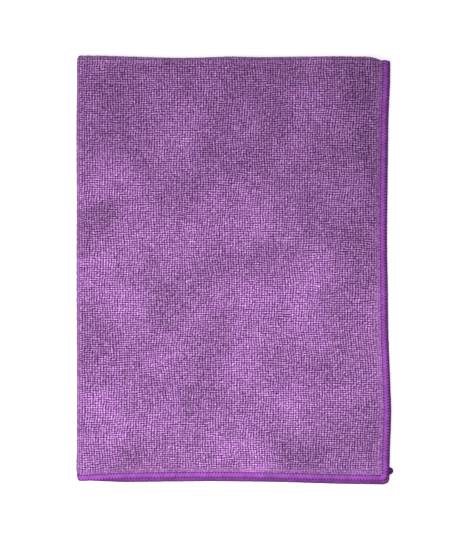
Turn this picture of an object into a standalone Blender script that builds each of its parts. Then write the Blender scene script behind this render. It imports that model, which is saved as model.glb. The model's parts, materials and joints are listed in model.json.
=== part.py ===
"""A quick-dry terry towel, folded in half over its left edge and in half again over its top edge.

The towel lies flat in four plies. X is the folded width, Y the folded length with the last fold
at +Y, and Z is up. The two outer plies are one layer of the cloth and the two inner plies are the
other, so the outer plies are joined round the outside of the top fold. Each ply is a body of its
own, and the curved cloth at the folds is in separate pieces between them.
"""

import math

import bmesh
import bpy
from mathutils import Vector

# Driving dimensions, in metres.
FOLDED_WIDTH = 0.2500  # from the left fold to the inner plies' side hem
FOLDED_LENGTH = 0.3415  # from the top fold to the inner plies' end hem
PLY_PITCH = 0.0026  # from one ply to the next
GAP = 0.0003  # between touching pieces
HEM_WIDTH = 0.0044  # the overlocked edge
RIGHT_STEP = 0.0015  # the inner plies' side hems stand out this far
BOTTOM_STEP = 0.0024  # the inner plies' end hems stand out this far
CORNER_RADIUS = 0.0035  # the cloth's four cut corners
HEM_ROUNDING = 0.0006  # along the hems' edges
TAIL_REACH = 0.0034  # how far the thread end stands out from the hem
TAIL_HALF_HEIGHT = 0.0023
TAIL_LEAN = -0.0007  # its tip lies lower than its middle
TAIL_RADIUS = 0.0009
TAIL_ABOVE_BOTTOM = 0.0106
TURN_STEPS = 16  # facets round a half turn
CORNER_STEPS = 6  # facets round a cut corner
TAIL_POINTS = 15

# Sizes that follow from them.
THICKNESS = PLY_PITCH - GAP
INNER_RADIUS = GAP / 2
LEFT_RADIUS = PLY_PITCH - GAP / 2
TOP_RADIUS = 2 * PLY_PITCH - GAP / 2
WHOLE_WIDTH = FOLDED_WIDTH + TAIL_REACH
RIGHT = WHOLE_WIDTH / 2 - TAIL_REACH
LEFT_AXIS_X = -WHOLE_WIDTH / 2 + LEFT_RADIUS
BOTTOM = -FOLDED_LENGTH / 2
TOP_AXIS_Y = FOLDED_LENGTH / 2 - TOP_RADIUS
PLY_NAMES = ("bottom", "third", "second", "top")  # from the floor up
OUTER = (0, 3)  # the plies of the outer layer


def low(ply):
    """The height of a ply's underside."""
    return ply * PLY_PITCH


def crease_height(ply):
    """The height midway between a ply and the one above it."""
    return low(ply + 1) - GAP / 2


def right_edge(ply):
    return RIGHT - RIGHT_STEP if ply in OUTER else RIGHT


def bottom_edge(ply):
    return BOTTOM + BOTTOM_STEP if ply in OUTER else BOTTOM


def clear_scene():
    for thing in list(bpy.data.objects):
        bpy.data.objects.remove(thing)


def make_material(name, colour, roughness):
    material = bpy.data.materials.new(name)
    material.use_nodes = True
    shader = material.node_tree.nodes["Principled BSDF"]
    shader.inputs["Base Color"].default_value = (*colour, 1.0)
    shader.inputs["Roughness"].default_value = roughness
    shader.inputs["Metallic"].default_value = 0.0
    return material


def make_axis(name, point, parent=None):
    """An empty on a joint's axis, which carries what turns about it."""
    axis = bpy.data.objects.new(name, None)
    bpy.context.scene.collection.objects.link(axis)
    axis.parent = parent
    axis.location = Vector(point) - (world_place(parent) if parent else Vector())
    return axis


def world_place(empty):
    place = Vector(empty.location)
    while empty.parent:
        empty = empty.parent
        place += empty.location
    return place


def finish_piece(name, bm, material, axis):
    """Makes the object from a mesh in world places, with its origin on its axis."""
    bmesh.ops.recalc_face_normals(bm, faces=bm.faces)
    bmesh.ops.translate(bm, verts=bm.verts, vec=-world_place(axis))
    mesh = bpy.data.meshes.new(name)
    bm.to_mesh(mesh)
    bm.free()
    mesh.materials.append(material)
    piece = bpy.data.objects.new(name, mesh)
    bpy.context.scene.collection.objects.link(piece)
    piece.parent = axis
    return piece


def round_edges(piece, width):
    bevel = piece.modifiers.new("rounding", "BEVEL")
    bevel.width = width
    bevel.segments = 3
    bevel.limit_method = "ANGLE"
    bevel.angle_limit = math.radians(50)


def add_plate(name, outline, ply, material, axis):
    """A flat piece of one ply, from its outline seen from above."""
    bm = bmesh.new()
    face = bm.faces.new([bm.verts.new((x, y, low(ply))) for x, y in outline])
    grown = bmesh.ops.extrude_face_region(bm, geom=[face])
    raised = [v for v in grown["geom"] if isinstance(v, bmesh.types.BMVert)]
    bmesh.ops.translate(bm, verts=raised, vec=(0, 0, THICKNESS))
    return finish_piece(name, bm, material, axis)


def rectangle(x0, x1, y0, y1):
    return [(x0, y0), (x1, y0), (x1, y1), (x0, y1)]


def add_panel(ply, material, axis):
    """The flat cloth of one ply, inside its hems and short of its folds."""
    outline = rectangle(
        LEFT_AXIS_X + GAP,
        right_edge(ply) - HEM_WIDTH - GAP,
        bottom_edge(ply) + HEM_WIDTH + GAP,
        TOP_AXIS_Y - GAP,
    )
    add_plate(f"{PLY_NAMES[ply]}_ply", outline, ply, material, axis)


def add_side_hem(ply, material, axis):
    """The hem up one ply's right side, with the cloth's cut corner at its foot."""
    inner, outer, foot = right_edge(ply) - HEM_WIDTH, right_edge(ply), bottom_edge(ply)
    turns = [math.radians(-90 + 90 * n / CORNER_STEPS) for n in range(CORNER_STEPS + 1)]
    corner = [
        (
            outer - CORNER_RADIUS * (1 - math.cos(turn)),
            foot + CORNER_RADIUS * (1 + math.sin(turn)),
        )
        for turn in turns
    ]
    head = TOP_AXIS_Y - GAP
    outline = [(inner, foot), *corner, (outer, head), (inner, head)]
    name = f"{PLY_NAMES[ply]}_side_hem"
    round_edges(add_plate(name, outline, ply, material, axis), HEM_ROUNDING)


def add_end_hem(ply, material, axis):
    """The hem along one ply's end, from the left crease to the side hem."""
    foot = bottom_edge(ply)
    right = right_edge(ply) - HEM_WIDTH - GAP
    outline = rectangle(LEFT_AXIS_X + GAP, right, foot, foot + HEM_WIDTH)
    name = f"{PLY_NAMES[ply]}_end_hem"
    round_edges(add_plate(name, outline, ply, material, axis), HEM_ROUNDING)


def add_half_turn(name, section_at, material, axis):
    """A half turn of cloth, from the four corners of its section at each share of the turn."""
    bm = bmesh.new()
    sections = [
        [bm.verts.new(corner) for corner in section_at(n / TURN_STEPS)]
        for n in range(TURN_STEPS + 1)
    ]
    for before, after in zip(sections, sections[1:]):
        for n in range(4):
            m = (n + 1) % 4
            bm.faces.new((before[n], before[m], after[m], after[n]))
    bm.faces.new(sections[0])
    bm.faces.new(sections[-1])
    return finish_piece(name, bm, material, axis)


def left_turn(ply, near, far):
    """The section of a left fold that joins a ply to the one above it.

    near and far give the turn's two ends along Y, as functions of the ply.
    """
    height = crease_height(ply)

    def section_at(share):
        angle = math.radians(-90 - 180 * share)
        y0 = near(ply) + (near(ply + 1) - near(ply)) * share
        y1 = far(ply) + (far(ply + 1) - far(ply)) * share
        places = [(INNER_RADIUS, y0), (LEFT_RADIUS, y0), (LEFT_RADIUS, y1), (INNER_RADIUS, y1)]
        return [
            (LEFT_AXIS_X + r * math.cos(angle), y, height + r * math.sin(angle))
            for r, y in places
        ]

    return section_at


def top_turn(inner_radius, outer_radius, x0, x1):
    """The section of the top fold between two radii and two places along X."""
    height = crease_height(1)

    def section_at(share):
        angle = math.radians(-90 + 180 * share)
        places = [(inner_radius, x0), (outer_radius, x0), (outer_radius, x1), (inner_radius, x1)]
        return [
            (x, TOP_AXIS_Y + r * math.cos(angle), height + r * math.sin(angle))
            for r, x in places
        ]

    return section_at


def hem_inside(ply):
    return bottom_edge(ply) + HEM_WIDTH


def cloth_foot(ply):
    return hem_inside(ply) + GAP


def cloth_head(ply):
    return TOP_AXIS_Y - GAP


def add_left_fold(ply, label, cloth, thread, axis):
    """The cloth and the end hem where they turn round the left crease."""
    cloth_turn = left_turn(ply, cloth_foot, cloth_head)
    add_half_turn(f"left_turn_{label}", cloth_turn, cloth, axis)
    hem_turn = left_turn(ply, bottom_edge, hem_inside)
    add_half_turn(f"end_hem_turn_{label}", hem_turn, thread, axis)


def add_top_fold(layer, ply, radii, cloth, thread, axis):
    """One layer's cloth and side hem where they turn round the top crease."""
    hem_start = right_edge(ply) - HEM_WIDTH
    cloth_turn = top_turn(*radii, LEFT_AXIS_X + GAP, hem_start - GAP)
    add_half_turn(f"top_turn_{layer}", cloth_turn, cloth, axis)
    hem_turn = top_turn(*radii, hem_start, right_edge(ply))
    add_half_turn(f"side_hem_turn_{layer}", hem_turn, thread, axis)


def add_corner_turn(material, axis):
    """The doubled cloth at the top left, where the left fold goes round the top fold."""
    height = crease_height(2)
    angles = [math.radians(90 + 180 * n / TURN_STEPS) for n in range(TURN_STEPS + 1)]
    around = [(LEFT_RADIUS, a) for a in angles] + [(INNER_RADIUS, a) for a in reversed(angles)]
    bm = bmesh.new()
    section = bm.faces.new(
        [
            bm.verts.new((LEFT_AXIS_X + r * math.cos(a), TOP_AXIS_Y, height + r * math.sin(a)))
            for r, a in around
        ]
    )
    bmesh.ops.spin(
        bm,
        geom=[section, *section.edges, *section.verts],
        cent=(0, TOP_AXIS_Y, crease_height(1)),
        axis=(-1, 0, 0),
        angle=math.pi,
        steps=TURN_STEPS,
    )
    finish_piece("corner_turn", bm, material, axis)


def add_thread_tail(ply, material, axis):
    """The trimmed end of the overlock chain, a short loop on one ply's side hem."""
    curve = bpy.data.curves.new("thread_tail", "CURVE")
    curve.dimensions = "3D"
    curve.bevel_depth = TAIL_RADIUS
    curve.bevel_resolution = 2
    curve.use_fill_caps = True
    spline = curve.splines.new("POLY")
    spline.points.add(TAIL_POINTS - 1)
    start = Vector((RIGHT + 1.5 * GAP, BOTTOM + TAIL_ABOVE_BOTTOM, low(ply) + THICKNESS / 2))
    out = TAIL_REACH - TAIL_RADIUS - 1.5 * GAP
    for n, point in enumerate(spline.points):
        turn = math.pi * n / (TAIL_POINTS - 1)
        offset = Vector(
            (
                out * math.sin(turn),
                TAIL_HALF_HEIGHT * math.cos(turn) + TAIL_LEAN * math.sin(turn) ** 2,
                0,
            )
        )
        point.co = (*(start + offset - world_place(axis)), 1)
    curve.materials.append(material)
    tail = bpy.data.objects.new("thread_tail", curve)
    bpy.context.scene.collection.objects.link(tail)
    tail.parent = axis


def build():
    clear_scene()
    cloth = make_material("terry_cloth", (0.31, 0.13, 0.38), 0.95)
    thread = make_material("overlock_thread", (0.24, 0.07, 0.33), 0.7)

    floor = make_axis("towel_on_floor", (0, 0, 0))
    lower_crease = make_axis("left_fold_lower_axis", (LEFT_AXIS_X, 0, crease_height(0)), floor)
    top_crease = make_axis("top_fold_axis", (0, TOP_AXIS_Y, crease_height(1)), lower_crease)
    upper_crease = make_axis(
        "left_fold_upper_axis", (LEFT_AXIS_X, 0, crease_height(2)), top_crease
    )

    for ply, axis in enumerate((floor, lower_crease, top_crease, upper_crease)):
        add_panel(ply, cloth, axis)
        add_side_hem(ply, thread, axis)
        add_end_hem(ply, thread, axis)
    add_left_fold(0, "lower", cloth, thread, floor)
    add_left_fold(2, "upper", cloth, thread, top_crease)
    inner_radii = (INNER_RADIUS, LEFT_RADIUS)
    add_top_fold("inner", 1, inner_radii, cloth, thread, lower_crease)
    outer_radii = (PLY_PITCH + INNER_RADIUS, TOP_RADIUS)
    add_top_fold("outer", 0, outer_radii, cloth, thread, upper_crease)
    add_corner_turn(cloth, upper_crease)
    add_thread_tail(2, thread, top_crease)


build()
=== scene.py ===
"""A quick-dry terry towel with overlocked hems, folded into four plies, lying on a pale floor.

Each ply is a ground cloth with a skin of pile loops on both faces and a thread-wrapped hem round
its two cut edges. The cloth and the hems that go round the folds are pieces of their own.
"""

import json
import math

import bpy
import numpy as np
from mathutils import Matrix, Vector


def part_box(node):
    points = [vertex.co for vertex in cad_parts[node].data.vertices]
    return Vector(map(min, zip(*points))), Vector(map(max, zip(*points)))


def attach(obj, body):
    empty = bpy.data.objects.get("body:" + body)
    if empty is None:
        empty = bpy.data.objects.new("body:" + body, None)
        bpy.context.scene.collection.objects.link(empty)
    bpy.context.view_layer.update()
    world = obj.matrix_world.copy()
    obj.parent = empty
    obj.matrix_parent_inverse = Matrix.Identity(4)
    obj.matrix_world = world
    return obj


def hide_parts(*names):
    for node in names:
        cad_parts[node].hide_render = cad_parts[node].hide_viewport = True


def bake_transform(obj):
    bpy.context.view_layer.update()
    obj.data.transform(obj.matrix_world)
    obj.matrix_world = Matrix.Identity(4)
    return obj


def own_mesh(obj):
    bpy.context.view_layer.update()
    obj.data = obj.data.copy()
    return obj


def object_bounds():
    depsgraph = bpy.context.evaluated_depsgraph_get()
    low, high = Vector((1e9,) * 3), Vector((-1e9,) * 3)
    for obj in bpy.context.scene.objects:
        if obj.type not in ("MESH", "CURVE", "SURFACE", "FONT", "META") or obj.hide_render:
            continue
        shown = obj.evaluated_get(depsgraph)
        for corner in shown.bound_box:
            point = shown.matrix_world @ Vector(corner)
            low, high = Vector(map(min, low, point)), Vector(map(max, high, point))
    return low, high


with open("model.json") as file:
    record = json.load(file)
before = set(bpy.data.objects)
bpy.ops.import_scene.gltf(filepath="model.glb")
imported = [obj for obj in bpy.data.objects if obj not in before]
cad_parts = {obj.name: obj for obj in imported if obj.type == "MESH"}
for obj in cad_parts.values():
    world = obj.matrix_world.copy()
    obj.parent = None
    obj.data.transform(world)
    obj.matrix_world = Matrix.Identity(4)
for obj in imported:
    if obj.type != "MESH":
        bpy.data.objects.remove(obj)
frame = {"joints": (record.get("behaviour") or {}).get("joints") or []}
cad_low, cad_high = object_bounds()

MM = 0.001

# The plies from the floor up, and the folds between them.
PLY_NAMES = ("bottom", "third", "second", "top")
FOLD_PLACES = {joint["name"]: joint["pos_m"] for joint in frame["joints"]}
FOLD_X = FOLD_PLACES["left_fold_lower"][0]
FOLD_Y = FOLD_PLACES["top_fold"][1]
TOP_FOLD_Z = FOLD_PLACES["top_fold"][2]

# The pile: loops stand in columns along Y and rows along X, with two mesh steps to a loop.
LOOP_WIDTH = 2.05 * MM
LOOP_LENGTH = 1.76 * MM
PILE = 0.80 * MM
TUCK = 0.5 * MM  # the pile runs this far under the hem
LEFT_TURN_LOOPS = 3
TOP_TURN_LOOPS = 8
INNER_TURN_LOOPS = 4
CREASE_SEED = 11

# Heights in the pile, as shares of PILE.
GAP_HEIGHT = 0.10  # between four loops
BRIDGE_HEIGHT = 0.40  # between two loops
LOOP_HEIGHT = 0.92
LOOSENESS = 0.24  # how far the heights stray
LEANING = 0.08  # how far patches lean towards columns or towards rows
PINCHED = 0.45  # what the hem's stitches leave of the height
PINCHED_LOOPS = 1.5

# Where the loops stray to.
SHAKE = 0.20 * MM
NAP = 0.35 * MM  # how far a loop's top is brushed aside
NEAR_WANDER = 0.5 * MM
FAR_WANDER = 1.2 * MM
NEAR_LOOPS, FAR_LOOPS = 3, 16  # the two distances over which the loops stray together
CALM_LOOPS = 3  # the straying fades over this many loops at an edge

# How the pile looks: its colour goes by the height at which it stands, as painted shade low in the
# gaps and painted light on the loops' tops.
GROUND_STAND = 0.2  # of the knitted ground, given the dark of the painted shade between loops
INSIDE_STAND = 0.45  # the inner side of a turn, hidden while it is closed
CLOSED_STAND = 0.56  # loops pressed together beside a hem
CLOSED_SHARE = 0.80
CLOSED_LOOPS = 4.0  # the pile opens up over this many loops
LEFT_TURN_FROM_HEM = 1.8  # the left turns look like pile this many loops from a hem
TOP_TURN_PAINTED_LIGHT = 0.16  # painted light on the pile where it goes round the last fold, whose side faces away from the lamp

# The overlocked hems.
STITCH = 2.4 * MM
STITCH_STEPS = 8
NEEDLE_TURN = 0.25 * MM  # the needle line's own radius at the cut corner
CORNER_STITCHES = 3
LEFT_TURN_STITCHES = 3
HALF_TURN_STITCHES = 3
INNER_TURN_STITCHES = 2
CORE_INSET = 0.22 * MM  # the padding lies this far under the cloth's faces
LOOPER = (0.58 * MM, 0.20 * MM)  # half the width and half the height of a looper thread
LOOPER_LIFT = 0.12 * MM  # its middle above the padding
LOOPER_START = 0.35 * MM  # and out from the needle line
NEEDLE = (0.26 * MM, 0.16 * MM)
NEEDLE_OUT = 0.25 * MM
NEEDLE_DIP = 0.55 * MM  # the needle thread dives between its dashes
KNOT_INSET = 0.05 * MM
KNOT_SWAY = 0.12 * MM
THREAD_TINT = 0.3  # how light a thread is, unless painted light or shade is given for its hem
TOP_PAINTED_LIGHTNESS, SIDE_PAINTED_LIGHTNESS, END_PAINTED_LIGHTNESS = 0.5, 0.45, 0.05  # painted light and shade: the top ply's hem light, the lower plies' side hems light and their end hems dark, as shade under the top ply's edge
TAIL_START = 0.4 * MM  # the trimmed end starts this far inside the hem
TAIL_DROOP = 1.2 * MM

# The knitted ground.
GROUND_COLUMNS, GROUND_ROWS = 48, 64
GROUND_INSET = 0.15  # of the hem's width, from the cut edges

# How far the folded towel's edges wander from straight, in millimetres. Each pair is a share of the
# side and an amount. The side and the left fold go from the top down, the others from the left.
SIDE_WAVE = (
    (0, 0.5), (0.045, 0.4), (0.115, -0.7), (0.22, -1.3), (0.325, -1.75), (0.43, -2.0), (0.54, -1.4),
    (0.64, -1.0), (0.75, 0.4), (0.83, 1.25), (0.92, 0.3), (1, -0.2),
)
END_WAVE = ((0, 0.7), (0.04, 0.9), (0.24, 1.7), (0.43, 2.1), (0.66, 1.35), (0.81, 0.3), (1, -0.4))
LEFT_WAVE = (
    (0, 0.2), (0.02, 0.1), (0.07, 0.2), (0.107, 0.45), (0.353, 0.45), (0.458, 0.6),
    (0.773, 0.3), (0.914, 0.4), (0.984, 0.7), (1, 0.6),
)
TOP_WAVE = (
    (0, 0.9), (0.036, 0.9), (0.151, 0.15), (0.228, -0.5), (0.343, -1.1), (0.42, -0.6),
    (0.496, 0.05), (0.573, -0.4), (0.688, -0.1), (0.803, 0.2), (0.88, 0.1), (0.956, -1.3),
    (0.982, -3.7), (1, -4.0),
)
CONVERGING = 40 * MM  # the plies' ends come together over this length at the left fold
OVERHANG = 0.7 * MM  # the inner plies' ends have slid out by this much
RIPPLE = 0.30 * MM  # gentle swells of the cloth
RIPPLE_FADE = 15 * MM
LEFT_TURN_TUCK = 2.0 * MM  # the left turns' lower ends are drawn in by this much
LEFT_HEM_TUCK = 2.2 * MM
TUCK_LOOPS = 6  # and the drawing in fades over this many loops
HALF_GAP = 0.15 * MM  # half the gap between two plies
CORNER_BULGE = 0.80  # the last fold stands out less at the folded corner

CAMERA_ABOVE = 1.6
CAMERA_X = -8.1 * MM
CAMERA_Y = 1.4 * MM
SEEN_LENGTH = 427.2 * MM  # along the long side of the view
SENSOR = 36
LAMP_PLACE = (-0.070, -0.10, 0.34)
LAMP_SIZE = 0.3
LAMP_POWER = 2.1
SKY_STRENGTH = 0.20
FLOOR_COLOUR = 0.7
FLOOR_GLOW = 0.75
FLOOR_HALF = 3.0
SWEEP_HEIGHT = 0.9
SWEEP_STEPS = 9
SWEEP_SIDES = 48


# ---------------------------------------------------------------- sizes


class Ply:
    """One layer's place and edges, as the solid model has them."""

    def __init__(self, number, name):
        self.number = number
        self.name = name
        self.body = f"{name}_quarter"
        panel_low, panel_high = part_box(f"{name}_ply")
        side_low, side_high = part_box(f"{name}_side_hem")
        end_low, end_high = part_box(f"{name}_end_hem")
        self.low, self.high = panel_low.z, panel_high.z
        self.middle = (self.low + self.high) / 2
        self.hem_side, self.right = side_low.x, side_high.x
        self.foot, self.hem_end = end_low.y, end_high.y
        self.seed = 100 * (number + 1)


plies = [Ply(number, name) for number, name in enumerate(PLY_NAMES)]
bottom, third, second, top = plies
RIGHT = max(ply.right for ply in plies)
FOOT = min(ply.foot for ply in plies)
THICKNESS = top.high - top.low
HEM_WIDTH = top.right - top.hem_side
STEP = top.foot - second.foot
TOP_RADIUS = top.high - TOP_FOLD_Z
COLUMNS = round((top.hem_side - FOLD_X) / LOOP_WIDTH)
ROWS = round((FOLD_Y - top.hem_end) / LOOP_LENGTH)


def smoothstep(t):
    t = np.clip(t, 0, 1)
    return t * t * (3 - 2 * t)


def wave(knots, at):
    """A smooth curve through pairs of place and millimetres, level beyond its ends."""
    places, amounts = np.array(knots, float).T
    slopes = np.gradient(amounts, places)
    slopes[0] = slopes[-1] = 0
    at = np.clip(at, places[0], places[-1])
    n = np.clip(np.searchsorted(places, at) - 1, 0, len(places) - 2)
    gap = places[n + 1] - places[n]
    t = (at - places[n]) / gap
    value = (2 * t**3 - 3 * t**2 + 1) * amounts[n] + (3 * t**2 - 2 * t**3) * amounts[n + 1]
    value += gap * ((t**3 - 2 * t**2 + t) * slopes[n] + (t**3 - t**2) * slopes[n + 1])
    return value * MM


def share_across(x):
    return (x - FOLD_X) / (RIGHT - FOLD_X)


def share_down(y):
    return (FOLD_Y - y) / (FOLD_Y - FOOT)


def ripple(x, y):
    """The swell of the flat cloth, which dies away before each fold."""
    fade = smoothstep((x - FOLD_X) / RIPPLE_FADE) * smoothstep((FOLD_Y - y) / RIPPLE_FADE)
    swell = np.sin(47 * x + 21 * y + 0.6) + 0.6 * np.sin(88 * y - 35 * x + 2.1)
    swell = swell + 0.5 * np.sin(120 * x + 64 * y + 4.0)
    return RIPPLE * fade * (0.5 + 0.24 * swell)


def settled(ply, x, y):
    """Where a point of the flat ply comes to lie, with its height above where it was."""
    across = (x - FOLD_X) / (ply.right - FOLD_X)
    down = (FOLD_Y - y) / (FOLD_Y - ply.foot)
    closing = STEP / 2 * (1 - smoothstep((x - FOLD_X) / CONVERGING))
    if ply in (bottom, top):
        closing = -closing
    else:
        closing = closing - OVERHANG * smoothstep((x - FOLD_X) / CONVERGING)
    dx = across**2 * wave(SIDE_WAVE, down)
    dy = down**2 * (wave(END_WAVE, across) + closing)
    return x + dx, y + dy, ripple(x, y) * (ply.number + 1) / len(plies)


# ---------------------------------------------------------------- meshes


class Shape:
    """Gathers four-sided faces, and values at their corners, into one piece."""

    def __init__(self):
        self.points, self.quads, self.values, self.count = [], [], [], 0

    def add(self, points, quads, height, tint=0.5):
        """height is how far a point stands out of the cloth, which the finishes paint as shade low
        down and light on top, and tint how light its yarn is; on the ply hems it also carries
        painted light and shade.
        """
        points = points.reshape(-1, 3)
        values = np.empty((len(points), 2))
        values[:, 0] = np.ravel(height)
        values[:, 1] = np.ravel(tint)
        self.points.append(points)
        self.values.append(values)
        self.quads.append(quads + self.count)
        self.count += len(points)

    def piece(self, name, material):
        points = np.concatenate(self.points)
        quads = np.concatenate(self.quads)
        values = np.concatenate(self.values)
        mesh = bpy.data.meshes.new(name)
        mesh.vertices.add(len(points))
        mesh.vertices.foreach_set("co", points.astype(np.float32).ravel())
        mesh.loops.add(quads.size)
        mesh.loops.foreach_set("vertex_index", quads.astype(np.int32).ravel())
        mesh.polygons.add(len(quads))
        mesh.polygons.foreach_set("loop_start", np.arange(0, quads.size, 4, dtype=np.int32))
        mesh.update(calc_edges=True)
        mesh.shade_smooth()
        for column, label in enumerate(("stand", "tint")):
            attribute = mesh.attributes.new(label, "FLOAT", "POINT")
            attribute.data.foreach_set("value", values[:, column].astype(np.float32))
        lay = mesh.attributes.new("lay", "FLOAT_VECTOR", "POINT")
        lay.data.foreach_set("vector", points.astype(np.float32).ravel())
        mesh.materials.append(material)
        made = bpy.data.objects.new(name, mesh)
        bpy.context.scene.collection.objects.link(made)
        return made


def grid_quads(columns, rows):
    """Faces over a grid of points, facing the viewer when columns go right and rows go up."""
    index = np.arange(columns * rows).reshape(columns, rows)
    corners = (index[:-1, :-1], index[1:, :-1], index[1:, 1:], index[:-1, 1:])
    return np.stack(corners, -1).reshape(-1, 4)


def shell_quads(columns, rows):
    """Faces of a closed shell, from an outer grid of points followed by an inner one."""
    outer = grid_quads(columns, rows)
    index = np.arange(columns * rows).reshape(columns, rows)
    inner = outer[:, ::-1] + columns * rows
    rim = np.concatenate([index[:-1, 0], index[-1, :-1], index[:0:-1, -1], index[0, :0:-1]])
    after = np.roll(rim, -1)
    below = columns * rows
    wall = np.stack([rim + below, after + below, after, rim], -1)
    return np.concatenate([outer, inner, wall])


def lengths(vectors):
    return np.maximum(np.linalg.norm(vectors, axis=-1, keepdims=True), 1e-12)


def thread_tube(shape, centres, ups, half_width, half_height, stand, tint, sides=6):
    """Adds a thread of oval section along a line of points."""
    along = np.gradient(centres, axis=0)
    along /= lengths(along)
    across = np.cross(along, ups)
    across /= lengths(across)
    out = np.cross(across, along)
    turns = np.arange(sides) * 2 * math.pi / sides
    count = len(centres)
    wide = np.broadcast_to(half_width, count)[:, None, None] * np.cos(turns)[None, :, None]
    tall = np.broadcast_to(half_height, count)[:, None, None] * np.sin(turns)[None, :, None]
    points = centres[:, None] + across[:, None] * wide + out[:, None] * tall
    index = np.arange(count * sides).reshape(count, sides)
    after = np.roll(index, -1, axis=1)
    quads = np.stack([index[:-1], after[:-1], after[1:], index[1:]], -1).reshape(-1, 4)
    caps = []
    for start, turn in ((0, -1), (index[-1, 0], 1)):
        for n in range(1, sides - 2, 2):
            caps.append([start + m for m in (0, n, n + 1, n + 2)][::turn])
    # Painted shade: each thread is lighter on its side facing up or away from the cloth and darker
    # on its side towards it.
    rises = np.broadcast_to(stand, count)[:, None] + 0.12 * np.sin(turns)[None]
    tints = np.broadcast_to(tint, count)[:, None] + 0 * turns[None]
    shape.add(points, np.concatenate([quads, np.array(caps)]), rises, tints)


# ---------------------------------------------------------------- pile


def blending(count, cells):
    """The weights that spread values at the ends of cells smoothly over a row of points."""
    at = np.linspace(0, cells, count)
    n = np.clip(at.astype(int), 0, cells - 1)
    t = smoothstep(at - n)
    weights = np.zeros((count, cells + 1))
    weights[np.arange(count), n] = 1 - t
    weights[np.arange(count), n + 1] = t
    return weights


def drift(rng, shape, cells):
    """Smooth random values from -1 to 1 over a grid, with so many cells each way."""
    coarse = rng.uniform(-1, 1, (cells[0] + 1, cells[1] + 1))
    return blending(shape[0], cells[0]) @ coarse @ blending(shape[1], cells[1]).T


def scatter(rng, shape):
    """Random values from about -1 to 1 that even out among neighbours."""
    values = rng.uniform(-1, 1, shape)
    steps = (-1, 0, 1)
    around = sum(np.roll(values, (a, b), (0, 1)) for a in steps for b in steps)
    return values - around / len(steps) ** 2


def crease_heights(count, seed):
    """The pile along a fold's edge, alike for the pieces that meet there."""
    heights = np.random.default_rng(seed).uniform(0.3, 0.6, count)
    heights[::2] *= 0.6
    heights[[0, -1]] = 0
    return heights


LEFT_CREASE = crease_heights(2 * ROWS + 1, CREASE_SEED)
TOP_CREASE = crease_heights(2 * COLUMNS + 1, CREASE_SEED + 1)
CORNER_CREASE = crease_heights(2 * LEFT_TURN_LOOPS + 1, CREASE_SEED + 2)


class Pile:
    """The heights, shifts and tints of a patch of loops, which stand at the odd points."""

    def __init__(self, columns, rows, seed):
        rng = np.random.default_rng(seed)
        self.shape = (2 * columns + 1, 2 * rows + 1)
        near, far = (
            (max(2, columns // loops), max(2, rows // loops)) for loops in (NEAR_LOOPS, FAR_LOOPS)
        )
        loose = LOOSENESS * scatter(rng, self.shape)
        lean = LEANING * drift(rng, self.shape, near)
        self.height = GAP_HEIGHT + 0.4 * np.abs(loose)
        self.height[1::2, 1::2] = LOOP_HEIGHT + 0.3 * loose[1::2, 1::2]
        self.height[2:-1:2, 1::2] = (BRIDGE_HEIGHT + loose + lean)[2:-1:2, 1::2]
        self.height[1::2, 2:-1:2] = (BRIDGE_HEIGHT + loose - lean)[1::2, 2:-1:2]
        nap = self.height * NAP
        self.dx, self.dy = (
            SHAKE * scatter(rng, self.shape) + nap * drift(rng, self.shape, near)
            for _ in range(2)
        )
        self.wander_x, self.wander_y = (
            FAR_WANDER * drift(rng, self.shape, far) + NEAR_WANDER * drift(rng, self.shape, near)
            for _ in range(2)
        )
        self.tint = 0.5 + 0.5 * scatter(rng, self.shape)

    def hold(self, part, heights):
        """Fixes the edge points that another piece shares."""
        self.height[part] = heights
        for shift in (self.dx, self.dy, self.wander_x, self.wander_y):
            shift[part] = 0
        self.tint[part] = 0.5

    def calm(self, fade):
        """Stills the wandering where fade is nought, and leaves it where fade is one."""
        self.wander_x *= fade
        self.wander_y *= fade


def pinch(from_hem):
    """How far the hem's stitches press the pile down, by loops from the hem."""
    return PINCHED + (1 - PINCHED) * smoothstep(from_hem / PINCHED_LOOPS)


def smooth_edge(height, from_hem):
    """The pile's look near a hem, where pressed loops close over the gaps between them and the
    painted shade of the gaps gives way to an even tone.
    """
    closing = CLOSED_SHARE * (1 - smoothstep(from_hem / CLOSED_LOOPS))
    return height + closing * (CLOSED_STAND - height)


def flat_pile(ply, face):
    """The skin of loops on one face of a ply: face is 1 for the upper and -1 for the lower."""
    pile = Pile(COLUMNS, ROWS, ply.seed + face)
    i = np.linspace(0, 1, pile.shape[0])[:, None]
    j = np.linspace(0, 1, pile.shape[1])[None, :]
    edge = np.minimum(np.minimum(i, 1 - i) * COLUMNS, np.minimum(j, 1 - j) * ROWS)
    pile.calm(smoothstep(edge / CALM_LOOPS))
    pile.hold(np.s_[0, :], LEFT_CREASE)
    pile.hold(np.s_[:, -1], TOP_CREASE)
    from_hem = np.minimum((1 - i) * COLUMNS, j * ROWS)
    x = FOLD_X + (ply.hem_side + TUCK - FOLD_X) * i + pile.dx + pile.wander_x
    y = ply.hem_end - TUCK + (FOLD_Y - ply.hem_end + TUCK) * j + pile.dy + pile.wander_y
    x, y, rise = settled(ply, x, y)
    height = pile.height * pinch(from_hem)
    stand = smooth_edge(pile.height, from_hem)
    if face < 0:
        height = np.minimum(height, 1)
        z = ply.low + PILE - height * PILE + rise
    else:
        z = ply.high - PILE + height * PILE + rise
    shape = Shape()
    quads = grid_quads(*pile.shape)
    shape.add(np.stack([x, y, z], -1), quads[:, ::-1] if face < 0 else quads, stand, pile.tint)
    return shape


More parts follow.
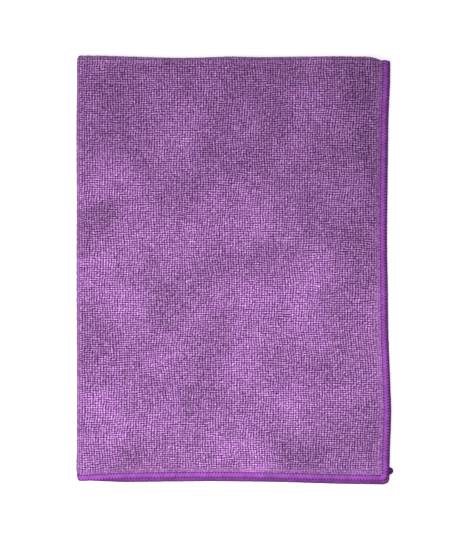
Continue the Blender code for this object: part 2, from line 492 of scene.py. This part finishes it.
def ground_cloth(ply):
    """The knitted ground between a ply's two skins, which its hems wrap."""
    i = np.linspace(0, 1, GROUND_COLUMNS)[:, None] + np.zeros((1, GROUND_ROWS))
    j = np.linspace(0, 1, GROUND_ROWS)[None, :] + np.zeros((GROUND_COLUMNS, 1))
    inset = GROUND_INSET * HEM_WIDTH
    x = FOLD_X + (ply.right - inset - FOLD_X) * i
    y = ply.foot + inset + (FOLD_Y - ply.foot - inset) * j
    x, y, rise = settled(ply, x, y)
    levels = (ply.high - PILE, ply.low + PILE)
    points = np.concatenate([np.stack([x, y, z + rise], -1).reshape(-1, 3) for z in levels])
    shape = Shape()
    shape.add(points, shell_quads(GROUND_COLUMNS, GROUND_ROWS), GROUND_STAND)
    return shape


# ---------------------------------------------------------------- folds


def turn_shape(outer, inner, stand, tint):
    """The closed shell of a turn, from grids of points on its outer and its inner side."""
    points = np.concatenate([outer.reshape(-1, 3), inner.reshape(-1, 3)])
    shown = stand.ravel()
    stands = np.concatenate([shown, INSIDE_STAND + 0 * shown])
    shape = Shape()
    tints = np.concatenate([tint.ravel()] * 2)
    shape.add(points, shell_quads(*stand.shape)[:, ::-1], stands, tints)
    return shape


def left_bulge(y):
    """How far the left fold stands out, as a share of its radius."""
    return 1 + wave(LEFT_WAVE, share_down(y)) / (THICKNESS + HALF_GAP)


def top_bulge(x):
    """How far the last fold stands out, as a share of its radius."""
    return 1 + wave(TOP_WAVE, share_across(x)) / TOP_RADIUS


def left_fold_pile(upper, lower, seed):
    """The cloth round the left fold that joins two plies."""
    centre = (upper.low + lower.high) / 2
    outside = upper.high - centre
    pile = Pile(LEFT_TURN_LOOPS, ROWS, seed)
    pile.hold(np.s_[0, :], LEFT_CREASE)
    pile.hold(np.s_[-1, :], LEFT_CREASE)
    pile.hold(np.s_[:, -1], CORNER_CREASE)
    i = np.linspace(0, 1, pile.shape[0])[:, None]
    j = np.linspace(0, 1, pile.shape[1])[None, :]
    from_hem = j * ROWS + 0 * i
    height = pile.height * pinch(from_hem)
    stand = smooth_edge(pile.height, LEFT_TURN_FROM_HEM)
    radius = outside - PILE + height * PILE
    angle = math.radians(90) + math.pi * i + pile.dx / radius
    hem_end = (upper.hem_end + lower.hem_end) / 2
    y = hem_end + (FOLD_Y - hem_end) * j + pile.dy
    down = (FOLD_Y - y) / (FOLD_Y - hem_end + HEM_WIDTH)
    y = y + down**2 * wave(END_WAVE, 0)
    y = y + LEFT_TURN_TUCK * np.sin(math.pi * i) ** 2 * (1 - smoothstep(from_hem / TUCK_LOOPS))
    bulge = left_bulge(y)
    outer, inner = (
        np.stack([FOLD_X + r * np.cos(angle) * bulge, y, centre + r * np.sin(angle)], -1)
        for r in (radius, outside - THICKNESS / 2)
    )
    return turn_shape(outer, inner, stand, pile.tint)


def outer_fold_piles(seed):
    """The outer cloth round the last fold, corner included, as an upper and a lower half."""
    corner = 2 * LEFT_TURN_LOOPS
    pile = Pile(COLUMNS + LEFT_TURN_LOOPS, TOP_TURN_LOOPS, seed)
    ends = np.concatenate([CORNER_CREASE[:-1], TOP_CREASE])
    pile.hold(np.s_[:, 0], ends)
    pile.hold(np.s_[:, -1], ends)
    i = np.arange(pile.shape[0])[:, None] + np.zeros((1, pile.shape[1]))
    turn = np.linspace(0, 1, pile.shape[1])[None, :] + 0 * i
    from_hem = (pile.shape[0] - 1 - i) / 2
    height = pile.height * pinch(from_hem)
    # Painted light: the pile round the last fold is lightened, as its side faces away from the
    # lamp.
    stand = smooth_edge(pile.height, from_hem) + TOP_TURN_PAINTED_LIGHT * np.sin(math.pi * turn)
    flat = np.clip((i - corner) / (2 * COLUMNS), 0, 1)
    x = FOLD_X + (top.hem_side + TUCK - FOLD_X) * flat + np.where(i > corner, pile.dx, 0)
    x = x + flat**2 * wave(SIDE_WAVE, 0)
    doubled_centre = top.low - HALF_GAP
    doubled = top.high - doubled_centre
    section = math.radians(270) - math.pi * np.clip(i / corner, 0, 1)
    out = doubled - PILE + height * PILE
    rounding = np.where(i < corner, out * np.cos(section), 0)
    depth = np.where(
        i < corner,
        doubled_centre - TOP_FOLD_Z + out * np.sin(section),
        TOP_RADIUS - PILE + height * PILE,
    )
    ground_depth = np.where(
        i < corner,
        doubled_centre - TOP_FOLD_Z + (doubled - THICKNESS / 2) * np.sin(section),
        TOP_RADIUS - THICKNESS / 2,
    )
    easing = np.where(i < corner, CORNER_BULGE + (1 - CORNER_BULGE) * i / corner, 1)
    bulge = top_bulge(x) * easing
    angle = math.radians(90) - math.pi * turn + pile.dy / TOP_RADIUS
    outer, inner = (
        np.stack(
            [x + side, FOLD_Y + r * np.cos(angle) * bulge, TOP_FOLD_Z + r * np.sin(angle)], -1
        )
        for r, side in ((depth, rounding), (ground_depth, rounding * 0.6))
    )
    halves = (np.s_[:, first : first + TOP_TURN_LOOPS + 1] for first in (0, TOP_TURN_LOOPS))
    return [turn_shape(outer[h], inner[h], stand[h], pile.tint[h]) for h in halves]


def inner_fold_pile(seed):
    """The inner cloth round the last fold."""
    outside = second.high - TOP_FOLD_Z
    pile = Pile(COLUMNS, INNER_TURN_LOOPS, seed)
    pile.hold(np.s_[:, 0], TOP_CREASE)
    pile.hold(np.s_[:, -1], TOP_CREASE)
    i = np.linspace(0, 1, pile.shape[0])[:, None] + np.zeros((1, pile.shape[1]))
    turn = np.linspace(0, 1, pile.shape[1])[None, :] + 0 * i
    x = FOLD_X + (second.hem_side - FOLD_X) * i + pile.dx
    x = x + i**2 * wave(SIDE_WAVE, 0)
    angle = math.radians(90) - math.pi * turn
    bulge = top_bulge(x)
    outer, inner = (
        np.stack([x, FOLD_Y + r * np.cos(angle) * bulge, TOP_FOLD_Z + r * np.sin(angle)], -1)
        for r in (outside - PILE + pile.height * PILE, outside - THICKNESS / 2)
    )
    return turn_shape(outer, inner, pile.height, pile.tint)


# ---------------------------------------------------------------- hems


class HemLine:
    """The needle line of a hem: its points, the way out to the cut edge, and the way up."""

    def __init__(self, points, outs, ups, phase):
        self.points, self.outs, self.ups, self.phase = points, outs, ups, phase

    def at(self, out, up):
        """Points so far out from the needle line and so far up from the cloth's middle."""
        return self.points + self.outs * out[:, None] + self.ups * up[:, None]


def flat_hem_line(ply):
    """From the last fold down the side, round the cut corner and along the end to the fold."""
    turn_x, turn_y = ply.hem_side - NEEDLE_TURN, ply.hem_end + NEEDLE_TURN
    side_length, end_length = FOLD_Y - turn_y, turn_x - FOLD_X
    side_stitches, end_stitches = round(side_length / STITCH), round(end_length / STITCH)
    side = np.linspace(0, 1, side_stitches * STITCH_STEPS, endpoint=False)
    corner = np.linspace(0, 1, CORNER_STITCHES * STITCH_STEPS, endpoint=False)
    end = np.linspace(0, 1, end_stitches * STITCH_STEPS + 1)
    heading = np.concatenate([0 * side, -math.pi / 2 * corner, 0 * end - math.pi / 2])
    x = np.concatenate([turn_x + 0 * side, turn_x + 0 * corner, turn_x - end_length * end])
    y = np.concatenate([FOLD_Y - side_length * side, turn_y + 0 * corner, turn_y + 0 * end])
    out_x, out_y = np.cos(heading), np.sin(heading)
    x, y = x + NEEDLE_TURN * out_x, y + NEEDLE_TURN * out_y
    px, py, rise = settled(ply, x, y)
    qx, qy, _ = settled(ply, x + HEM_WIDTH * out_x, y + HEM_WIDTH * out_y)
    points = np.stack([px, py, ply.middle + rise], -1)
    outs = np.stack([qx - px, qy - py, 0 * px], -1) / HEM_WIDTH
    ups = np.zeros_like(points)
    ups[:, 2] = 1
    return HemLine(points, outs, ups, np.arange(len(points)) / STITCH_STEPS)


def left_hem_line(upper, lower):
    """The end hem where it goes round the left fold."""
    centre = (upper.low + lower.high) / 2
    t = np.linspace(0, 1, LEFT_TURN_STITCHES * STITCH_STEPS + 1)
    angle = math.radians(90) + math.pi * t
    radius = upper.high - centre - THICKNESS / 2
    hem_end = (upper.hem_end + lower.hem_end) / 2
    y = hem_end + wave(END_WAVE, 0) + LEFT_HEM_TUCK * np.sin(math.pi * t) ** 2
    ups = np.stack([np.cos(angle), 0 * t, np.sin(angle)], -1)
    points = np.stack([FOLD_X + radius * np.cos(angle), y, centre + radius * np.sin(angle)], -1)
    outs = np.zeros_like(points)
    outs[:, 1] = -1
    return HemLine(points, outs, ups, LEFT_TURN_STITCHES * t)


def top_hem_line(upper, stitches, part=(0, 1)):
    """The side hem where it goes round the last fold, or a part of that turn."""
    share = np.linspace(*part, stitches * STITCH_STEPS + 1)
    angle = math.radians(90) - math.pi * share
    radius = upper.middle - TOP_FOLD_Z
    depth = (upper.high - TOP_FOLD_Z) * top_bulge(upper.hem_side) - THICKNESS / 2
    ups = np.stack([0 * share, np.cos(angle), np.sin(angle)], -1)
    x = upper.hem_side + wave(SIDE_WAVE, 0) + 0 * share
    y = FOLD_Y + max(depth, 0.25 * MM) * np.cos(angle)
    points = np.stack([x, y, TOP_FOLD_Z + radius * np.sin(angle)], -1)
    outs = np.zeros_like(points)
    outs[:, 0] = 1
    return HemLine(points, outs, ups, (share - part[0]) / (part[1] - part[0]) * stitches)


def overlock(line, seed, painted_lightness=THREAD_TINT):
    """The wrapped edge: a padded core, two looper threads, the edge knots and the needle thread.

    The lightness argument is the painted light and shade of the looper threads and the padding.
    """
    rng = np.random.default_rng(seed)
    count = len(line.phase)
    stitches = np.arange(int(line.phase[-1]) + 2)
    wobble = np.interp(line.phase, stitches, rng.uniform(-1, 1, len(stitches)))
    fade = smoothstep(line.phase) * smoothstep(line.phase[-1] - line.phase)
    width = HEM_WIDTH + 0.08 * MM * wobble * fade
    half = THICKNESS / 2
    core = half - CORE_INSET
    shape = Shape()
    hem_core(shape, line, width, core, painted_lightness)
    for face, shift in ((1, 0.0), (-1, 0.5)):
        swing = 0.5 - 0.5 * np.cos(2 * math.pi * (line.phase + shift))
        out = LOOPER_START + (width - NEEDLE_OUT) * swing
        lift = hem_surface(out / width, core) + LOOPER_LIFT
        # Painted light and shade: the looper threads are lighter on the hem's crest and darker
        # towards the needle line and the cut edge.
        stand = 0.50 + 0.34 * np.sin(math.pi * np.clip(out / width, 0, 1)) + 0.05 * wobble
        thread_tube(
            shape,
            line.at(out, face * lift),
            line.ups * face,
            *LOOPER,
            stand,
            painted_lightness + 0.15 * wobble,
        )
    # The edge knots are painted dark, as painted shade along the cut edge.
    beads = np.abs(np.sin(math.pi * line.phase))
    sway = KNOT_SWAY * np.sin(2 * math.pi * line.phase)
    thread_tube(
        shape,
        line.at(width - KNOT_INSET, sway),
        line.ups,
        (0.26 + 0.24 * beads) * MM,
        (0.30 + 0.22 * beads) * MM,
        0.22 + 0.16 * beads,
        THREAD_TINT,
        sides=8,
    )
    for face in (1, -1):
        # The needle thread is painted dark where it dips into its groove: painted shade.
        dash = np.abs(np.sin(math.pi * line.phase)) ** 0.7
        lift = (half - 0.62 * MM) + NEEDLE_DIP * dash
        thread_tube(
            shape,
            line.at(NEEDLE_OUT + 0 * width, face * lift),
            line.ups * face,
            *NEEDLE,
            0.02 + 0.26 * dash,
            THREAD_TINT,
        )
    return shape


def hem_surface(share, half):
    """The height of the core's face across the hem, from the needle line to the cut edge."""
    share = np.clip(share, 0, 1)
    return half * np.minimum(1, 0.75 + 2.5 * share) * np.sqrt(np.maximum(1 - share**5, 0))


def hem_core(shape, line, width, half, painted_lightness):
    """The cloth's edge and the threads' padding, ribbed a little, twice to a stitch."""
    shares = np.array([0, 0.06, 0.16, 0.35, 0.6, 0.8, 0.93, 0.985])
    ring = [(share, 1) for share in shares] + [(1.0, 0)] + [(share, -1) for share in shares[::-1]]
    rib = 1 + 0.05 * np.cos(2 * math.pi * line.phase * 2)
    points, heights = [], []
    for share, face in ring:
        lift = face * hem_surface(np.full(len(width), share), half) * rib
        points.append(line.at(width * share - 0.1 * MM * (1 - share), lift))
        # The padding is painted dark near the needle line and the cut edge: painted shade.
        heights.append(np.full(len(width), 0.55 if 0.1 < share < 0.8 else 0.2))
    points = np.stack(points, 1)
    count, sides = points.shape[:2]
    index = np.arange(count * sides).reshape(count, sides)
    after = np.roll(index, -1, axis=1)
    quads = np.stack([index[:-1], index[1:], after[1:], after[:-1]], -1).reshape(-1, 4)
    caps = []
    for row, turn in ((index[0], 1), (index[-1], -1)):
        for n in range(sides // 2):
            corners = [row[n], row[n + 1], row[sides - 2 - n], row[sides - 1 - n]]
            if len(set(corners)) == 4:
                caps.append(corners[::turn])
    tints = np.broadcast_to(painted_lightness, count)[:, None] - 0.1 + np.zeros((1, sides))
    shape.add(points, np.concatenate([quads, np.array(caps)]), np.stack(heights, 1), tints)


def thread_end():
    """The trimmed end of the overlock chain: a loop of three strands, and one inside it, painted
    dark as painted shade under the top ply's hem.
    """
    low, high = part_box("thread_tail")
    radius = (high.z - low.z) / 2
    root = second.right - TAIL_START
    middle = np.array([root, (low.y + high.y) / 2 - TAIL_DROOP, (low.z + high.z) / 2])
    t = np.linspace(0, 1, 61)
    x = root + (high.x - radius - root) * np.sin(math.pi * t)
    y = middle[1] + ((high.y - low.y) / 2 - radius) * np.cos(math.pi * t)
    centre = np.stack([x, y, middle[2] + 0 * t], -1)
    along = np.gradient(centre, axis=0)
    along /= lengths(along)
    up = np.array([0.0, 0.0, 1.0])
    side = np.cross(along, up)
    shape = Shape()
    for size, fat in ((1.0, 0.62), (0.42, 0.6)):
        for strand in range(3):
            twist = 2 * math.pi * (3 * t + strand / 3)
            offset = side * np.cos(twist)[:, None] + up * np.sin(twist)[:, None]
            # Painted shade: the strands are dark, lighter on the side their twist turns up.
            stand = 0.05 + 0.14 * np.sin(twist)
            thread_tube(
                shape,
                middle + (centre - middle) * size + 0.40 * radius * offset,
                np.broadcast_to(up, centre.shape),
                fat * radius,
                fat * radius,
                stand,
                THREAD_TINT,
            )
    return shape


# ---------------------------------------------------------------- finishes

YARN_SPECULAR = 0.10
FUZZ_DEPTH = 0.15 * MM


def linear(red, green, blue):
    """An ordinary 0 to 255 colour as the shader's numbers."""
    colour = (red, green, blue)
    return tuple(((c / 255 + 0.055) / 1.055) ** 2.4 if c > 10 else c / 3294.6 for c in colour)


def add_node(tree, kind, inputs=(), **settings):
    node = tree.nodes.new(kind)
    for name, value in settings.items():
        setattr(node, name, value)
    for name, value in dict(inputs).items():
        node.inputs[name].default_value = value
    return node


def link(tree, source, target):
    tree.links.new(source, target)


def new_group(name, inputs, outputs):
    """An empty node group with named number, colour or vector sockets."""
    group = bpy.data.node_groups.new(name, "ShaderNodeTree")
    for label, kind, value in inputs:
        socket = group.interface.new_socket(label, in_out="INPUT", socket_type=kind)
        if value is not None:
            socket.default_value = value
    for label, kind in outputs:
        group.interface.new_socket(label, in_out="OUTPUT", socket_type=kind)
    return group, group.nodes.new("NodeGroupInput"), group.nodes.new("NodeGroupOutput")


def mottle_group():
    """Slow, soft patches of lighter and darker yarn, at two sizes."""
    inputs = (
        ("Place", "NodeSocketVector", None),
        ("Patch scale", "NodeSocketFloat", 24.0),
        ("Fleck scale", "NodeSocketFloat", 560.0),
        ("Patches", "NodeSocketFloat", 1.0),
        ("Flecks", "NodeSocketFloat", 1.0),
    )
    tree, given, result = new_group("mottle", inputs, (("Shade", "NodeSocketFloat"),))
    total = None
    for scale, amount in (("Patch scale", "Patches"), ("Fleck scale", "Flecks")):
        noise = add_node(tree, "ShaderNodeTexNoise", {"Detail": 2.0, "Roughness": 0.55})
        link(tree, given.outputs["Place"], noise.inputs["Vector"])
        link(tree, given.outputs[scale], noise.inputs["Scale"])
        centred = add_node(tree, "ShaderNodeMath", {1: 0.5}, operation="SUBTRACT")
        link(tree, noise.outputs["Fac"], centred.inputs[0])
        scaled = add_node(tree, "ShaderNodeMath", operation="MULTIPLY")
        link(tree, centred.outputs[0], scaled.inputs[0])
        link(tree, given.outputs[amount], scaled.inputs[1])
        add = add_node(tree, "ShaderNodeMath", {1: 1.0}, operation="ADD")
        link(tree, scaled.outputs[0], add.inputs[0])
        if total:
            link(tree, total, add.inputs[1])
        total = add.outputs[0]
    link(tree, total, result.inputs["Shade"])
    return tree


def fibre_group():
    """The fine fuzz of the yarn, as a shade and as a height for bump."""
    inputs = (
        ("Place", "NodeSocketVector", None),
        ("Scale", "NodeSocketFloat", 2200.0),
        ("Amount", "NodeSocketFloat", 0.2),
    )
    outputs = (("Shade", "NodeSocketFloat"), ("Height", "NodeSocketFloat"))
    tree, given, result = new_group("fibre", inputs, outputs)
    noise = add_node(tree, "ShaderNodeTexNoise", {"Detail": 3.0, "Roughness": 0.6})
    link(tree, given.outputs["Place"], noise.inputs["Vector"])
    link(tree, given.outputs["Scale"], noise.inputs["Scale"])
    centred = add_node(tree, "ShaderNodeMath", {1: 0.5}, operation="SUBTRACT")
    link(tree, noise.outputs["Fac"], centred.inputs[0])
    shade = add_node(tree, "ShaderNodeMath", {2: 1.0}, operation="MULTIPLY_ADD")
    link(tree, centred.outputs[0], shade.inputs[0])
    link(tree, given.outputs["Amount"], shade.inputs[1])
    link(tree, shade.outputs[0], result.inputs["Shade"])
    link(tree, noise.outputs["Fac"], result.inputs["Height"])
    return tree


def yarn_material(name, stops, mottle, fibre, tint_range, roughness, sheen, sheen_tint, bump):
    """A yarn finish: colour by how far the yarn stands out, painted shade low down and painted
    light on top, with mottling, tint and fuzz.

    stops are pairs of stand and colour, the two end ones first.
    """
    material = bpy.data.materials.new(name)
    material.use_nodes = True
    tree = material.node_tree
    shader = tree.nodes["Principled BSDF"]
    place = add_node(tree, "ShaderNodeAttribute", attribute_name="lay")
    stand = add_node(tree, "ShaderNodeAttribute", attribute_name="stand")
    tint = add_node(tree, "ShaderNodeAttribute", attribute_name="tint")
    ramp = add_node(tree, "ShaderNodeValToRGB")
    for n, (position, colour) in enumerate(stops):
        stop = ramp.color_ramp.elements[n] if n < 2 else ramp.color_ramp.elements.new(position)
        stop.position = position
        stop.color = (*linear(*colour), 1)
    link(tree, stand.outputs["Fac"], ramp.inputs["Fac"])
    patches = add_node(tree, "ShaderNodeGroup", node_tree=mottle_tree)
    fuzz = add_node(tree, "ShaderNodeGroup", node_tree=fibre_tree)
    for group, values in ((patches, mottle), (fuzz, fibre)):
        for label, value in values.items():
            group.inputs[label].default_value = value
    for group in (patches, fuzz):
        link(tree, place.outputs["Vector"], group.inputs["Place"])
    yarn = add_node(
        tree, "ShaderNodeMapRange", {"To Min": tint_range[0], "To Max": tint_range[1]}
    )
    link(tree, tint.outputs["Fac"], yarn.inputs["Value"])
    shade = patches.outputs["Shade"]
    for other in (fuzz.outputs["Shade"], yarn.outputs["Result"]):
        product = add_node(tree, "ShaderNodeMath", operation="MULTIPLY")
        link(tree, shade, product.inputs[0])
        link(tree, other, product.inputs[1])
        shade = product.outputs[0]
    tinted = add_node(tree, "ShaderNodeVectorMath", operation="SCALE")
    link(tree, ramp.outputs["Color"], tinted.inputs[0])
    link(tree, shade, tinted.inputs["Scale"])
    link(tree, tinted.outputs[0], shader.inputs["Base Color"])
    relief = add_node(tree, "ShaderNodeBump", {"Strength": bump, "Distance": FUZZ_DEPTH})
    link(tree, fuzz.outputs["Height"], relief.inputs["Height"])
    link(tree, relief.outputs["Normal"], shader.inputs["Normal"])
    shader.inputs["Roughness"].default_value = roughness
    shader.inputs["Specular IOR Level"].default_value = YARN_SPECULAR
    shader.inputs["Sheen Weight"].default_value = sheen
    shader.inputs["Sheen Roughness"].default_value = 0.5
    shader.inputs["Sheen Tint"].default_value = (*linear(*sheen_tint), 1)
    return material


def floor_material():
    material = bpy.data.materials.new("pale_floor")
    material.use_nodes = True
    shader = material.node_tree.nodes["Principled BSDF"]
    shader.inputs["Base Color"].default_value = (FLOOR_COLOUR, FLOOR_COLOUR, FLOOR_COLOUR, 1)
    shader.inputs["Roughness"].default_value = 0.9
    shader.inputs["Emission Color"].default_value = (1, 1, 1, 1)
    shader.inputs["Emission Strength"].default_value = FLOOR_GLOW
    return material


mottle_tree = mottle_group()
fibre_tree = fibre_group()
terry = yarn_material(
    "terry_pile",
    # The stops run from painted shade in the gaps between loops to painted light on the loops'
    # tops.
    stops=(
        (0.0, (12, 0, 17)),
        (1.0, (208, 172, 221)),
        (0.2, (62, 8, 75)),
        (0.5, (134, 84, 145)),
        (0.8, (186, 144, 196)),
    ),
    mottle={"Patch scale": 24.0, "Fleck scale": 560.0, "Patches": 1.15, "Flecks": 1.75},
    fibre={"Scale": 2500.0, "Amount": 0.25},
    tint_range=(0.58, 1.40),
    roughness=0.95,
    sheen=0.2,
    sheen_tint=(200, 180, 208),
    bump=0.5,
)
thread = yarn_material(
    "overlock_thread",
    # The stops run from painted shade in the hem's recesses to painted light on its crest.
    stops=(
        (0.0, (60, 10, 74)),
        (1.0, (161, 86, 183)),
        (0.3, (96, 33, 113)),
        (0.6, (131, 62, 150)),
    ),
    mottle={"Patch scale": 24.0, "Fleck scale": 260.0, "Patches": 0.2, "Flecks": 0.3},
    fibre={"Scale": 3600.0, "Amount": 0.3},
    tint_range=(0.6, 1.4),
    roughness=0.62,
    sheen=0.05,
    sheen_tint=(200, 150, 215),
    bump=0.35,
)


# ---------------------------------------------------------------- the towel's pieces


def add_ply(ply):
    """A ply's ground cloth, its two skins of loops and its wrapped hem."""
    ground = ground_cloth(ply).piece(f"{ply.name}_ground_cloth", terry)
    skins = [
        flat_pile(ply, face).piece(f"{ply.name}_{label}_pile", terry)
        for face, label in ((1, "upper"), (-1, "lower"))
    ]
    line = flat_hem_line(ply)
    # Painted light and shade on the hems: the top ply's hem light, the lower plies' hems light
    # along the side and dark along the end, where they lie in the top ply's shade.
    lower_painted_lightness = SIDE_PAINTED_LIGHTNESS + (END_PAINTED_LIGHTNESS - SIDE_PAINTED_LIGHTNESS) * np.abs(line.outs[:, 1])
    painted_lightness = TOP_PAINTED_LIGHTNESS if ply is top else lower_painted_lightness
    hem = overlock(line, ply.seed + 7, painted_lightness).piece(f"{ply.name}_overlock", thread)
    for piece in (ground, *skins, hem):
        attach(piece, ply.body)
    for piece in (ground, *skins):
        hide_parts(f"{ply.name}_ply")
    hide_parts(f"{ply.name}_side_hem", f"{ply.name}_end_hem")


def bend_round_left(piece):
    """Bakes a left turn's placement into its mesh."""
    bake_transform(piece)


def add_left_fold(upper, lower, label, seed):
    cloth = left_fold_pile(upper, lower, seed).piece(f"left_fold_{label}_pile", terry)
    line = left_hem_line(upper, lower)
    hem = overlock(line, seed + 1).piece(f"left_fold_{label}_hem", thread)
    bend_round_left(cloth)
    bend_round_left(hem)
    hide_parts(f"left_turn_{label}")
    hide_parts(f"end_hem_turn_{label}")


def add_outer_fold(seed):
    """The outer turn's halves go with the outer plies."""
    upper_half, lower_half = outer_fold_piles(seed)
    for shape, label, ply, part in (
        (upper_half, "upper", top, (0, 0.5)),
        (lower_half, "lower", bottom, (0.5, 1)),
    ):
        cloth = shape.piece(f"top_fold_{label}_pile", terry)
        line = top_hem_line(top, HALF_TURN_STITCHES, part)
        hem = overlock(line, seed + 3).piece(f"top_fold_{label}_hem", thread)
        for piece in (cloth, hem):
            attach(piece, ply.body)
            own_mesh(piece)
        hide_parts("top_turn_outer", "corner_turn")
        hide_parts("side_hem_turn_outer")


def add_inner_fold(seed):
    cloth = inner_fold_pile(seed).piece("inner_fold_pile", terry)
    line = top_hem_line(second, INNER_TURN_STITCHES)
    hem = overlock(line, seed + 3).piece("inner_fold_hem", thread)
    for piece in (cloth, hem):
        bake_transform(piece)
    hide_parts("top_turn_inner")
    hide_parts("side_hem_turn_inner")


def add_thread_end():
    tail = thread_end().piece("chain_end", thread)
    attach(tail, second.body)
    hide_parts("thread_tail")


for each_ply in plies:
    add_ply(each_ply)
add_left_fold(top, second, "upper", seed=1100)
add_left_fold(third, bottom, "lower", seed=1200)
add_outer_fold(seed=1300)
add_inner_fold(seed=1400)
add_thread_end()


# ---------------------------------------------------------------- floor, light and camera


def add_floor():
    """A broad pale sweep: flat, and turned up well away from the towel."""
    steps = np.linspace(0, 1, SWEEP_STEPS)
    reaches = FLOOR_HALF + SWEEP_HEIGHT * np.sin(steps * math.pi / 2)
    rises = SWEEP_HEIGHT * (1 - np.cos(steps * math.pi / 2))
    turns = np.arange(SWEEP_SIDES) * 2 * math.pi / SWEEP_SIDES
    rings = np.stack(
        [
            reaches[:, None] * np.cos(turns),
            reaches[:, None] * np.sin(turns),
            rises[:, None] + 0 * turns,
        ],
        -1,
    ).reshape(-1, 3)
    index = np.arange(SWEEP_STEPS * SWEEP_SIDES).reshape(SWEEP_STEPS, SWEEP_SIDES)
    after = np.roll(index, -1, axis=1)
    faces = np.stack([index[:-1], index[1:], after[1:], after[:-1]], -1).reshape(-1, 4).tolist()
    shape = bpy.data.meshes.new("floor")
    shape.from_pydata(rings.tolist(), [], [index[0].tolist()] + faces)
    shape.shade_smooth()
    shape.materials.append(floor_material())
    floor = bpy.data.objects.new("floor", shape)
    bpy.context.scene.collection.objects.link(floor)


def add_light(name, place, size, power):
    """A square soft light, aimed at the middle of the towel."""
    lamp = bpy.data.lights.new(name, "AREA")
    lamp.shape = "SQUARE"
    lamp.size = size
    lamp.energy = power
    light = bpy.data.objects.new(name, lamp)
    light.location = place
    bpy.context.scene.collection.objects.link(light)
    bpy.context.view_layer.update()
    light.rotation_mode = "QUATERNION"
    light.rotation_quaternion = (-light.location).to_track_quat("-Z", "Y")


def add_sky(strength):
    world = bpy.data.worlds.new("studio")
    world.use_nodes = True
    sky = world.node_tree.nodes["Background"]
    sky.inputs["Color"].default_value = (1, 1, 1, 1)
    sky.inputs["Strength"].default_value = strength
    bpy.context.scene.world = world


def add_camera():
    lens = bpy.data.cameras.new("overhead")
    lens.sensor_width = SENSOR
    lens.lens = SENSOR * CAMERA_ABOVE / SEEN_LENGTH
    camera = bpy.data.objects.new("overhead", lens)
    camera.location = (CAMERA_X, CAMERA_Y, cad_high.z + CAMERA_ABOVE)
    bpy.context.scene.collection.objects.link(camera)
    bpy.context.scene.camera = camera


add_floor()
add_light("window", LAMP_PLACE, LAMP_SIZE, LAMP_POWER)
add_sky(SKY_STRENGTH)
add_camera()
bpy.context.scene.view_settings.view_transform = "Standard"
